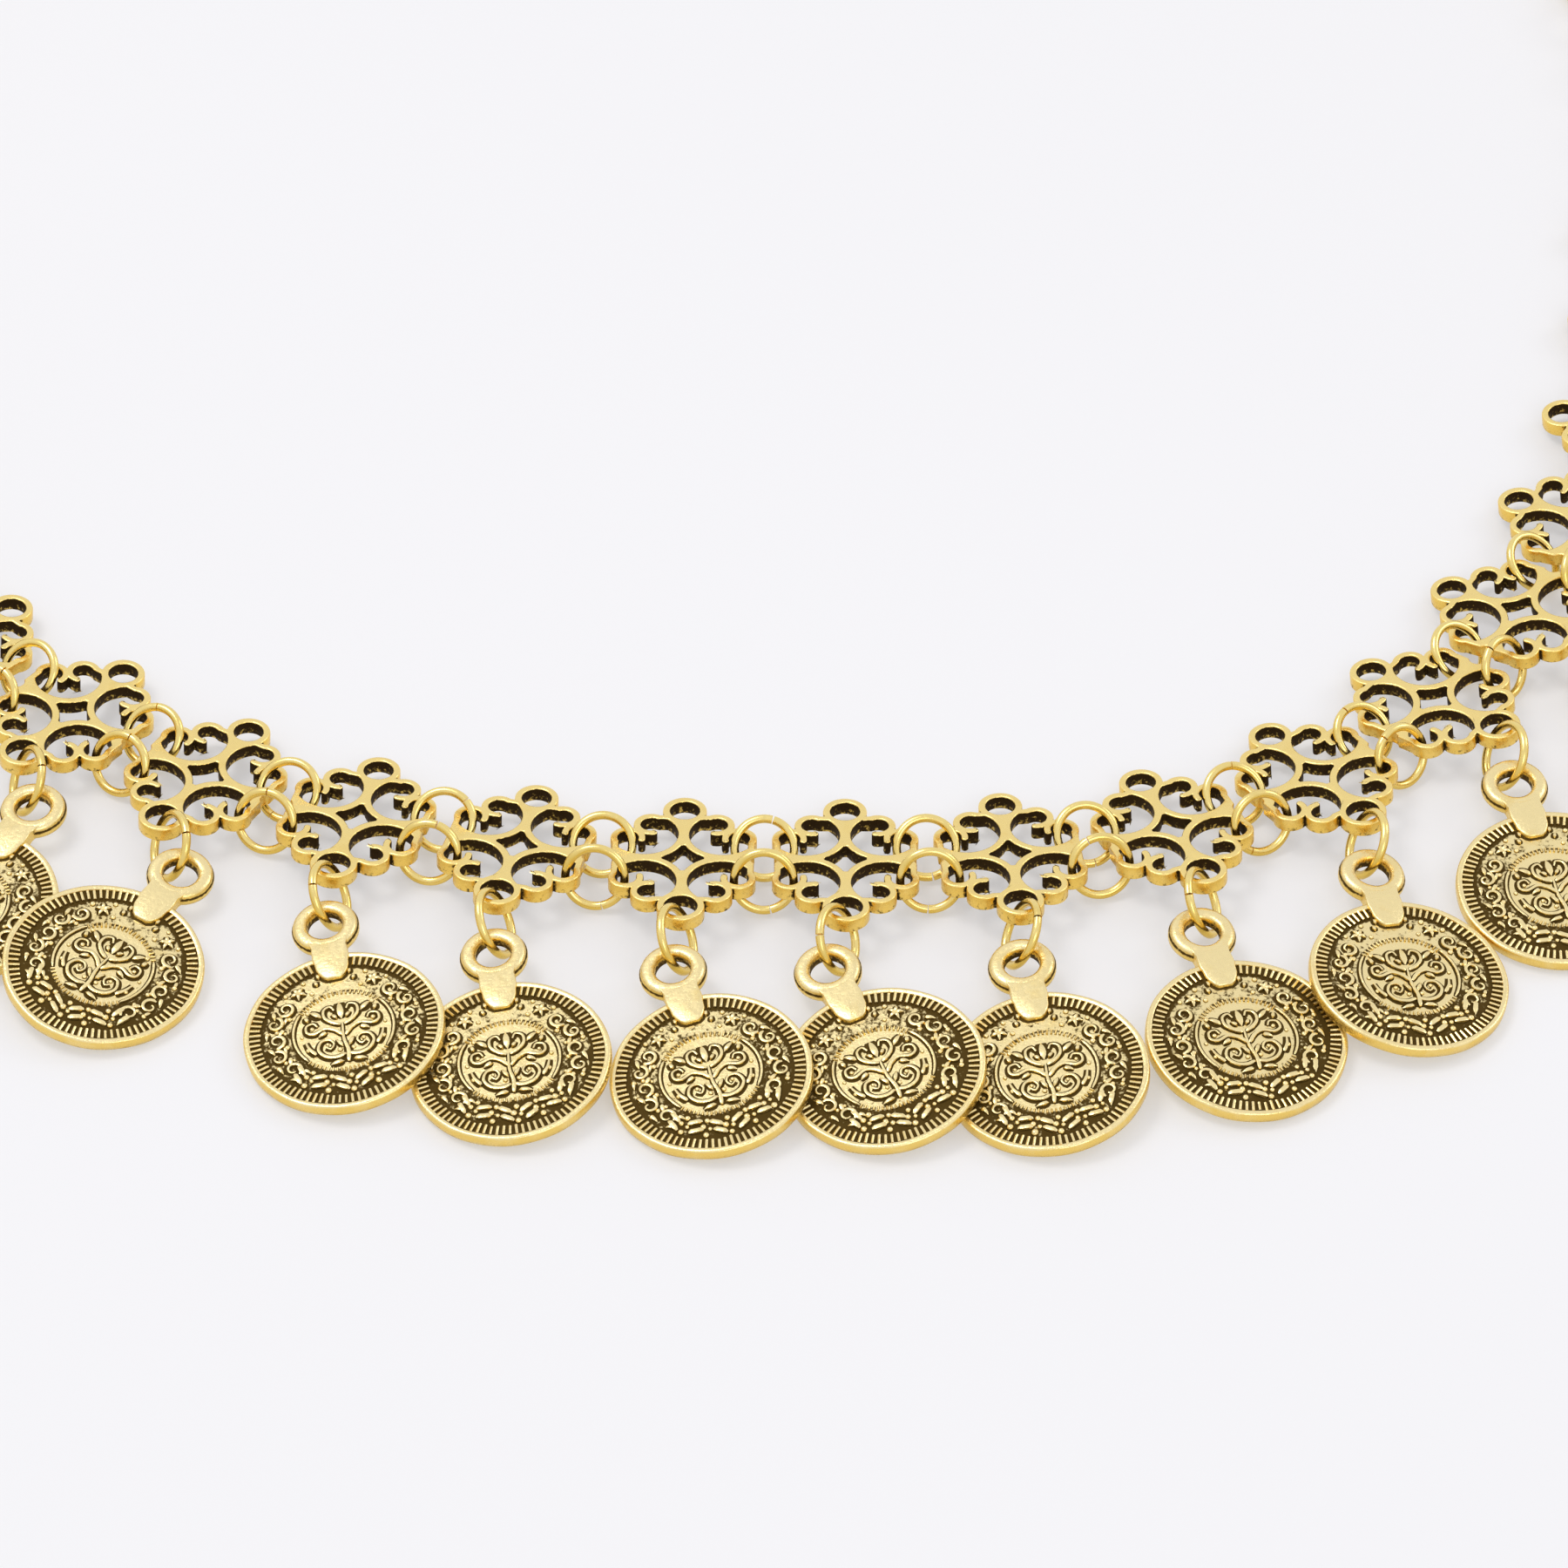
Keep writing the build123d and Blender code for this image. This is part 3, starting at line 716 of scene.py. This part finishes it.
def ornament(form, rng, level):
    """Raised scrolls, leaves, grains and stars of the coin's face, in millimetres."""
    def line(path, width, height, shape):
        form.stroke(path, width, height, level, shape, rng)

    for side in (1, -1):
        for corners in SCROLLS:
            line(smooth_path([(x * side, y) for x, y in corners]), 0.42, 0.3, tapered)
        for x, y, way, length, width in LEAVES:
            if x == 0 and side < 0:
                continue
            line(straight((x * side, y), mirrored(way, side), length), width * LEAF_FULLNESS, 0.3, leaf)
    line(smooth_path(STEM), 0.46, 0.32, tapered)

    # Plain arcs of the inner ring at its sides
    for start in (-ARC_REACH, 180 - ARC_REACH):
        line(curl((0, 0), INNER_RING, INNER_RING, start, 2 * ARC_REACH), 0.26, 0.24, even)

    # Vine scrolls at both sides of the band, curling in and out by turns
    for side in (1, -1):
        for k, right_way in enumerate(VINE_WAYS):
            flip = 1 if k % 2 else -1
            way = mirrored(right_way, side)
            start = way + 90 * flip * side
            line(curl(polar(BAND + 0.16 * flip, way), 0.8, 0.28, start, 360 * flip * side), 0.38, 0.3, tapered)
            nearby = way - 9 * side
            line(straight(polar(BAND - 0.55 * flip, nearby), nearby + 60 * flip, 1.05), 0.46, 0.3, leaf)
            line(straight(polar(BAND + 0.72 * flip, nearby + 3), nearby + 90, 0.8), 0.38, 0.28, leaf)

    # Pairs of grains along the bottom of the band
    for k, way in enumerate(GRAIN_WAYS[::2]):
        lean = 90 + 24 * (1 if k % 2 else -1)
        for radius in (5.65, 6.55):
            line(straight(polar(radius, way + 3 * (radius - 6)), way + lean, 1.35), 0.56, 0.34, even)

    # Stars and small leaves beside the tongue
    for way in (57, 123):
        middle = polar(6.25, way)
        for point in (way + 72 * k for k in range(5)):
            out_x, out_y = polar(0.34, point)
            line(straight((middle[0] + out_x, middle[1] + out_y), point, 0.85, 4), 0.42, 0.32, leaf)
    for way, radius in ((78, 6.9), (102, 6.9), (74, 6.2), (106, 6.2)):
        line(straight(polar(radius, way), way, 0.7), 0.36, 0.28, leaf)


def bead_places():
    """Middles of the beads on the coin's face, in millimetres, and their sizes."""
    places = [(*polar(6.95, way), 0.16) for way in (66, 114, 49, 131)]
    places += [(*polar(5.45, way), 0.15) for way in (66, 114)]
    for side in (1, -1):
        for k, right_way in enumerate((29, 11, -7, -25)):
            way = mirrored(right_way, side)
            places.append((*polar(6.85 if k % 2 else 5.2, way), 0.17))
            places.append((*polar(5.25 if k % 2 else 6.75, way), 0.13))
            places.append((*polar(6.0, way - 1.5), 0.15))
        for x, y, size in ((3.4, -1.5, 0.15), (1.62, -1.25, 0.13), (2.75, 0.85, 0.14), (2.9, 2.75, 0.15),
                           (0.6, -2.1, 0.15), (3.75, 0.15, 0.13)):
            places.append((x * side, y, size))
    for way in GRAIN_WAYS[1::2]:
        places.extend((*polar(radius, way + turn), size)
                      for radius, turn, size in ((5.3, 0, 0.18), (6.0, -3, 0.2), (6.2, 3, 0.15), (6.9, 0, 0.2)))
    return places


def disc_profile(radius, half, floor):
    """Rows of the disc from the middle of its back, round its edge and rim, to the middle of its face."""
    return [(0.0, -half, 0.1), (radius - 0.3, -half, 0.1), (radius - 0.1, -half + 0.06, 0.15),
            (radius, -half + 0.2, 0.1), (radius + 0.02, 0.0, 0.05), (radius, half - 0.2, 0.05),
            (radius - 0.06, half - 0.07, 0.0), (radius - 0.2, half, 0.0), (radius - 0.38, half - 0.01, 0.0),
            (radius - 0.53, half - 0.07, 0.15), (radius - 0.6, floor + 0.03, 0.95), (7.9, floor, 1.0),
            (7.4, floor - 0.02, 1.0), (7.0, floor, 0.92), (6.5, floor, 0.84), (5.9, floor, 0.8),
            (5.3, floor, 0.76), (4.85, floor, 0.72), (4.68, floor, 0.66), (4.3, floor, 0.3), (3.9, floor, 0.22),
            (3.0, floor, 0.2), (1.5, floor + 0.02, 0.22), (0.0, floor + 0.02, 0.22)]


def lug_profile(hole, half):
    """Rows of the lug's ring, with a bright bevel at its hole and a crease at its outer foot."""
    return [(hole, -half + 0.15, 0.8), (hole - 0.02, 0.05, 0.7), (hole + 0.03, half - 0.16, 0.3),
            (hole + 0.16, half + 0.01, 0.0), (hole + 0.4, half + 0.09, 0.0), (hole + 0.9, half + 0.08, 0.0),
            (hole + 1.18, half - 0.02, 0.0), (hole + 1.32, half - 0.22, 0.1), (hole + 1.36, half - 0.4, 0.95),
            (hole + 1.43, half - 0.5, 0.7), (hole + 1.47, 0.0, 0.0), (hole + 1.44, -half + 0.2, 0.1),
            (hole + 1.25, -half, 0.1), (hole + 0.2, -half, 0.2)]


def add_tongue(form, lug_out, half, floor):
    """The neck and tongue, from the lug down onto the face, with a dark seam round them."""
    side = [(1.9, 11.25), (1.72, 10.5), (1.6, 9.8), (1.66, 9.1), (1.68, 8.45), (1.56, 8.0), (1.5, 7.3),
            (1.34, 6.85), (1.0, 6.3), (0.62, 6.02)]
    arc = [(x, lug_out - math.sqrt(NECK_ARC**2 - x**2)) for x in (1.3, 0.65, 0.0, -0.65, -1.3)]
    outline = [(-x, y) for x, y in side] + side[::-1] + arc
    start = len(form.points)
    form.prism(outline, [(0.12, -half, 0.1), (0.0, -half + 0.12, 0.1), (0.0, floor + 0.1, 0.35),
                         (0.02, half + 0.06, 0.1), (0.08, half + 0.16, 0.0), (0.18, half + 0.2, 0.0)])
    for index in range(start, len(form.points)):
        x, y, z = form.points[index]
        form.points[index] = (x, y, min(z, half + 0.2 - 0.12 * min(1.0, max(0.0, y - 9.4))))
    form.prism([(x * 1.2, 6.0 + (y - 6.0) * 1.06 - 0.28) for x, y in outline[:-len(arc)] if y < 8.8],
               [(0.3, floor - 0.2, 1.0), (0.0, floor - 0.03, 1.0), (0.25, floor + 0.05, 1.0)])


def dark_foot(foot, dimmed, top):
    """Tarnish by height: full below the foot, dimmed up to the top and none above it."""
    return lambda point: 1.0 if point.z < foot else dimmed if point.z < top else 0.0


def coin_mesh(coin, number, trees):
    """One coin in its own frame."""
    rng = np.random.default_rng(coin.seed * 100 + number)
    form = Form()
    radius = coin.radius / MM
    half = coin.thickness / MM / 2
    floor = half - FIELD_DEPTH
    lug_out = coin.lug_out / MM
    waves = rng.random(3) * 6.28

    def uneven(way, r):
        wide, narrow = 0.03 * math.sin(3 * way + waves[0]), 0.015 * math.sin(11 * way + waves[1])
        return wide + narrow if r > WAVES_FROM else 0.0

    form.turned_round(disc_profile(radius, half, floor), DISC_SEGMENTS, waver=uneven)

    # The band is darker at its bottom and in patches, and each coin is a little darker or paler
    shade = rng.normal(0, 0.05)
    for index, (x, y, _) in enumerate(form.points):
        reach = math.hypot(x, y)
        if BAND_EDGES[0] < reach < BAND_EDGES[1]:
            low = 0.5 - 0.5 * y / reach
            patch = math.sin(2.3 * x + waves[1]) * math.sin(2.1 * y + waves[2])
            form.tarnish[index] = 0.42 + 0.45 * low + 0.12 * patch + shade
        elif reach < INNER_RING:
            form.tarnish[index] += shade + 0.04

    # Teeth round the edge, each a little out of place
    tooth, tooth_sockets, bead, bead_sockets = trees
    spots = []
    turns = []
    sizes = []
    for way in (np.arange(coin.teeth) + 0.5) / coin.teeth * FULL_TURN:
        reach = radius - RIM - coin.tooth_length / MM / 2 + rng.normal(0, 0.035)
        spots.append((reach * math.cos(way) * MM, reach * math.sin(way) * MM, floor * MM))
        turns.append(Quaternion((0, 0, 1), way + rng.normal(0, 0.012)))
        sizes.append(1 + rng.normal(0, 0.05))
    teeth = run_tree(tooth, tooth_sockets, "teeth", spots, turns, sizes, {"Length": coin.tooth_length, **TOOTH})
    form.add_mesh(teeth, dark_foot(floor + 0.05, 0.45, floor + 0.12))

    # Dashes of the inner ring above and below its plain arcs
    beside_arcs = math.cos(math.radians(ARC_REACH + 1))
    ways = [way for way in np.radians(np.arange(0, 360, 5)) if abs(math.cos(way)) < beside_arcs]
    spots = [(INNER_RING * math.cos(way) * MM, INNER_RING * math.sin(way) * MM, floor * MM) for way in ways]
    turns = [Quaternion((0, 0, 1), way) for way in ways]
    dashes = run_tree(tooth, tooth_sockets, "dashes", spots, turns, [1.0] * len(ways), DASH)
    form.add_mesh(dashes, dark_foot(floor + 0.04, 0.1, math.inf))

    places = bead_places()
    sizes = [size * (1 + rng.normal(0, 0.06)) for _, _, size in places]
    beads = run_tree(bead, bead_sockets, "beads", [(x * MM, y * MM, floor * MM) for x, y, _ in places],
                     [Quaternion()] * len(places), sizes, BEAD)
    form.add_mesh(beads, dark_foot(floor + 0.04, 0.3, floor + 0.08))

    ornament(form, rng, floor)
    form.turned_round(lug_profile(coin.lug_hole / MM, half), LUG_SEGMENTS, centre=(0.0, lug_out))
    add_tongue(form, lug_out, half, floor)
    return form.mesh(f"coin {number}")


class NECKLACE_OT_coins(bpy.types.Operator):
    """Make every coin with its raised face, lug and tongue"""
    bl_idname = "necklace.coins"
    bl_label = "Make Coins"

    def execute(self, context):
        coin = context.scene.necklace_coin
        material = finish_named("coin metal")
        trees = (*copies_tree("coin teeth", DASH, tooth_shape, material),
                 *copies_tree("coin beads", BEAD, bead_shape, material))
        for number, node in enumerate(COINS):
            mesh = coin_mesh(coin, number, trees)
            mesh.transform(coin_pose(node, coin))
            add_piece(mesh, "cast_" + node, material, "coin_gold", node)
        return {"FINISHED"}


# Plates

def wall_loops(bm):
    """The points of each closed wall, one set for the outline and one for each opening."""
    left = {face for face in bm.faces if abs(face.normal.z) < 0.5}
    loops = []
    while left:
        stack = [left.pop()]
        members = list(stack)
        while stack:
            for edge in stack.pop().edges:
                for other in edge.link_faces:
                    if other in left:
                        left.discard(other)
                        stack.append(other)
                        members.append(other)
        loops.append({vert for face in members for vert in face.verts})
    return loops


def crease_places(bm, outer):
    """Points of the upright edges where the outline folds inwards."""
    creases = []
    for edge in bm.edges:
        along = edge.verts[0].co - edge.verts[1].co
        upright = abs(along.z) > 0.9 * along.length
        if upright and edge.verts[0] in outer and edge.calc_face_angle_signed(0) < -math.radians(30):
            creases.append(edge.verts[0].co.copy())
    return creases


def finished_copy(mesh, add_modifiers):
    """The mesh as it is after modifiers, which stay on none of the pieces."""
    carrier = bpy.data.objects.new(mesh.name, mesh)
    bpy.context.scene.collection.objects.link(carrier)
    add_modifiers(carrier.modifiers)
    bpy.context.view_layer.update()
    result = bpy.data.meshes.new_from_object(carrier.evaluated_get(bpy.context.evaluated_depsgraph_get()))
    bpy.data.objects.remove(carrier)
    return result


def plate_mesh(settings):
    """One plate in its own frame, its edges rounded and its tarnish painted, with painted glints low on the walls
    of its openings, from the middle plate's solid.
    """
    bm = merged(PLATES[len(PLATES) // 2])
    points = np.array([vert.co[:] for vert in bm.verts])
    bm.transform(pose_of(points, True).inverted())
    loops = wall_loops(bm)
    outer = max(loops, key=lambda verts: max(vert.co.length for vert in verts))
    creases = crease_places(bm, outer)
    marks = [(vert.co.copy(), vert in outer) for verts in loops for vert in verts]
    bmesh.ops.dissolve_limit(bm, angle_limit=math.radians(1), verts=bm.verts, edges=bm.edges)
    half = max(vert.co.z for vert in bm.verts)
    mesh = bpy.data.meshes.new("plate")
    bm.to_mesh(mesh)
    bm.free()

    def add_rounding(modifiers):
        bevel = modifiers.new("round", "BEVEL")
        bevel.width = settings.edge_round
        bevel.segments = 3
        bevel.limit_method = "ANGLE"
        bevel.angle_limit = math.radians(50)
        bevel.use_clamp_overlap = False

    result = finished_copy(mesh, add_rounding)

    # Tops are bright, openings dark with oxide that thins low on their walls as painted glints, creases of the
    # outline dark, and outer walls a little darker towards their foot
    tree = kdtree.KDTree(len(marks))
    for index, (spot, _) in enumerate(marks):
        tree.insert(Vector((spot.x, spot.y, 0)), index)
    tree.balance()
    tarnish = []
    for vert in result.vertices:
        _, index, gap = tree.find(Vector((vert.co.x, vert.co.y, 0)))
        depth = (half - vert.co.z) / settings.edge_round
        low = (half - vert.co.z) / (2 * half)
        on_outline = marks[index][1]
        if gap > settings.edge_round * 0.97 and depth < 0.5:
            tarnish.append(0.0)
        elif not on_outline:
            # Oxide on the openings' walls thins towards the bottom as painted glints
            tarnish.append(min(1.0 - 0.42 * low, max(0.0, depth - 0.1) * 1.1))
        else:
            near = min((vert.co.xy - crease.xy).length for crease in creases)
            tarnish.append(max(0.1 + 0.32 * low, 1.0 - near / settings.crease_reach) * min(1.0, depth))
    layer = result.attributes.new("tarnish", "FLOAT", "POINT")
    layer.data.foreach_set("value", np.array(tarnish, np.float32))
    result.shade_smooth()
    result.set_sharp_from_angle(angle=math.radians(35))
    return result


class NECKLACE_OT_plates(bpy.types.Operator):
    """Make every pierced plate with its rounded edges and dark openings"""
    bl_idname = "necklace.plates"
    bl_label = "Make Plates"

    def execute(self, context):
        material = finish_named("plate metal")
        shape = plate_mesh(context.scene.necklace_plate)
        for node in PLATES:
            bm = merged(node)
            pose = pose_of(np.array([vert.co[:] for vert in bm.verts]), True)
            bm.free()
            mesh = shape.copy()
            mesh.transform(pose)
            add_piece(mesh, "cast_" + node, material, "plate_gold", node)
        bpy.data.meshes.remove(shape)
        return {"FINISHED"}


# Rings and chain

class NECKLACE_OT_rings(bpy.types.Operator):
    """Make the jump rings between the plates, to the coins and at the ends of the chain"""
    bl_idname = "necklace.rings"
    bl_label = "Make Jump Rings"

    def execute(self, context):
        ring = context.scene.necklace_ring
        material = finish_named("ring metal")
        sizes = {"Radius": ring.radius, "Wire Radius": ring.wire / 2, "Joint Angle": ring.joint / ring.radius}
        tree, sockets = copies_tree("wire rings", sizes, ring_shape, material)
        rng = np.random.default_rng(11)
        for node in ("link_rings", "coin_rings", "end_rings", "clasp_ring"):
            bm = merged(node)
            spots = []
            turns = []
            for points in islands(bm):
                centre, (_, _, normal) = main_axes(points)
                if normal.z < 0:
                    normal = -normal
                uphill = Vector((0, 0, 1)) - normal * normal.z
                uphill.normalize()
                turn = Matrix((uphill, normal.cross(uphill), normal)).transposed().to_quaternion()
                joint = rng.normal(0, 0.35) + (math.pi if rng.random() < 0.35 else 0)
                spots.append(centre)
                turns.append(turn @ Quaternion((0, 0, 1), joint))
            bm.free()
            radius = ring.coin_radius if node == "coin_rings" else ring.radius
            mesh = run_tree(tree, sockets, node, spots, turns, [1.0] * len(spots),
                            {**sizes, "Radius": radius, "Joint Angle": ring.joint / radius})
            add_piece(mesh, "wire_" + node, material, "ring_gold", node)
        return {"FINISHED"}


class NECKLACE_OT_chain(bpy.types.Operator):
    """Make the two runs of oval links behind the neck"""
    bl_idname = "necklace.chain"
    bl_label = "Make Chain"

    def execute(self, context):
        ring = context.scene.necklace_ring
        material = finish_named("ring metal")
        sizes = {"Length": ring.link_length, "Width": ring.link_width, "Wire Radius": ring.link_wire / 2}
        tree, sockets = copies_tree("oval links", sizes, link_shape, material)
        for node in ("chain_right", "chain_left"):
            bm = merged(node)
            poses = [pose_of(points, False) for points in islands(bm)]
            bm.free()
            mesh = run_tree(tree, sockets, node, [pose.translation for pose in poses],
                            [pose.to_quaternion() for pose in poses], [1.0] * len(poses), sizes)
            add_piece(mesh, "wire_" + node, material, "chain_gold", node)
        return {"FINISHED"}


class NECKLACE_OT_clasp(bpy.types.Operator):
    """Make the closed hook with softly rounded edges"""
    bl_idname = "necklace.clasp"
    bl_label = "Make Clasp"

    def execute(self, context):
        bm = merged("clasp")
        mesh = bpy.data.meshes.new("clasp")
        bm.to_mesh(mesh)
        bm.free()

        def add_rounding(modifiers):
            remesh = modifiers.new("even faces", "REMESH")
            remesh.mode = "VOXEL"
            remesh.voxel_size = 0.00012
            rounding = modifiers.new("round", "SMOOTH")
            rounding.factor = 0.5
            rounding.iterations = 6

        result = finished_copy(mesh, add_rounding)
        result.shade_smooth()
        add_piece(result, "hook_clasp", finish_named("ring metal"), "clasp_gold", "clasp")
        return {"FINISHED"}


# Stage

FLOOR_REACH = 1.5
SENSOR_WIDTH = 36.0
# Each soft lamp with its place, its size and its power in watts
LAMPS = (("top lamp", (-0.35, 0.05, 0.8), 0.35, 1.9), ("front lamp", (0.3, -0.75, 0.6), 0.35, 0.9),
         ("side lamp", (0.75, 0.2, 0.5), 0.3, 0.7))
LAMP_COLOUR = (1.0, 0.985, 0.97)
ROOM_COLOUR = (0.97, 0.97, 1.0, 1.0)
ROOM_STRENGTH = 0.85


class NECKLACE_OT_stage(bpy.types.Operator):
    """Set the floor, the soft light and the camera"""
    bl_idname = "necklace.stage"
    bl_label = "Set Stage"

    def execute(self, context):
        scene = context.scene
        stage = scene.necklace_stage
        mesh = bpy.data.meshes.new("floor")
        corners = [(x * FLOOR_REACH, y * FLOOR_REACH, 0) for x, y in ((-1, -1), (1, -1), (1, 1), (-1, 1))]
        mesh.from_pydata(corners, [], [(0, 1, 2, 3)])
        mesh.materials.append(plain_finish("floor board", stage.floor_colour, 0.75, stage.floor_glow))
        floor = bpy.data.objects.new("floor", mesh)
        scene.collection.objects.link(floor)

        target = Vector(stage.target)
        data = bpy.data.cameras.new("camera")
        data.sensor_width = SENSOR_WIDTH
        data.lens = SENSOR_WIDTH * stage.distance / stage.view_width
        data.clip_start = 0.01
        camera = bpy.data.objects.new("camera", data)
        scene.collection.objects.link(camera)
        away = Vector((0, -math.cos(stage.elevation), math.sin(stage.elevation)))
        camera.location = target + away * stage.distance
        camera.rotation_euler = away.to_track_quat("Z", "Y").to_euler()
        scene.camera = camera

        for name, spot, size, power in LAMPS:
            light = bpy.data.lights.new(name, "AREA")
            light.energy = power
            light.size = size
            light.color = LAMP_COLOUR
            lamp = bpy.data.objects.new(name, light)
            scene.collection.objects.link(lamp)
            lamp.location = spot
            lamp.rotation_euler = (Vector(spot) - target).to_track_quat("Z", "Y").to_euler()

        world = bpy.data.worlds.new("studio")
        scene.world = world
        world.use_nodes = True
        background = world.node_tree.nodes["Background"]
        background.inputs["Color"].default_value = ROOM_COLOUR
        background.inputs["Strength"].default_value = ROOM_STRENGTH
        scene.view_settings.view_transform = "Standard"
        return {"FINISHED"}


class NECKLACE_PT_panel(bpy.types.Panel):
    """Lists the steps that build the necklace"""
    bl_idname = "NECKLACE_PT_panel"
    bl_label = "Coin Necklace"
    bl_space_type = "VIEW_3D"
    bl_region_type = "UI"
    bl_category = "Necklace"

    def draw(self, context):
        for step in STEPS:
            self.layout.operator(step.bl_idname)


STEPS = (NECKLACE_OT_stage, NECKLACE_OT_coins, NECKLACE_OT_plates, NECKLACE_OT_rings, NECKLACE_OT_chain,
         NECKLACE_OT_clasp)
GROUPS = {"necklace_coin": NecklaceCoinSettings, "necklace_plate": NecklacePlateSettings,
          "necklace_ring": NecklaceRingSettings, "necklace_finish": NecklaceFinishSettings,
          "necklace_stage": NecklaceStageSettings}


def register():
    for group in GROUPS.values():
        bpy.utils.register_class(group)
    for name, group in GROUPS.items():
        setattr(bpy.types.Scene, name, bpy.props.PointerProperty(type=group))
    for step in (*STEPS, NECKLACE_PT_panel):
        bpy.utils.register_class(step)


def unregister():
    for step in (*STEPS, NECKLACE_PT_panel):
        bpy.utils.unregister_class(step)
    for name in GROUPS:
        delattr(bpy.types.Scene, name)
    for group in GROUPS.values():
        bpy.utils.unregister_class(group)


def main():
    register()
    bpy.ops.necklace.stage()
    bpy.ops.necklace.coins()
    bpy.ops.necklace.plates()
    bpy.ops.necklace.rings()
    bpy.ops.necklace.chain()
    bpy.ops.necklace.clasp()


if __name__ == "__main__":
    main()
